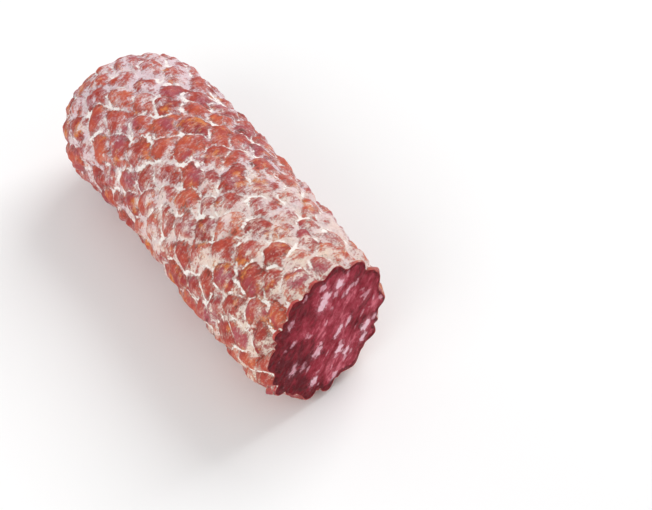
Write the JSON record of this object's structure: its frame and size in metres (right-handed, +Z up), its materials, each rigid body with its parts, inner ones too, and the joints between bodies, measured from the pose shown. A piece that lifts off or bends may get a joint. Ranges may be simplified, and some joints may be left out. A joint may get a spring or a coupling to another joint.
{
  "type": "cut cured sausage",
  "caption": "Netted dry-cured sausage with a rounded, gathered tip, lying on its side and cut slantwise at the other end to show red meat and fat.",
  "frame": {"origin": "middle of the underside: halfway along X and Y, at the lowest point of the sausage", "axes": "+X along the sausage towards its cut face, +Z up, +Y to the side that the cut face leans away from"},
  "size_m": [0.1936, 0.081, 0.0768],
  "materials": {
    "skin": "matt dried casing in brick red and salmon, with white mould in the grooves and in patches, and a moist wine-red cut face flecked with pale fat"
  },
  "bodies": {
    "root": {"sausage": "skin"}
  },
  "joints": []
}
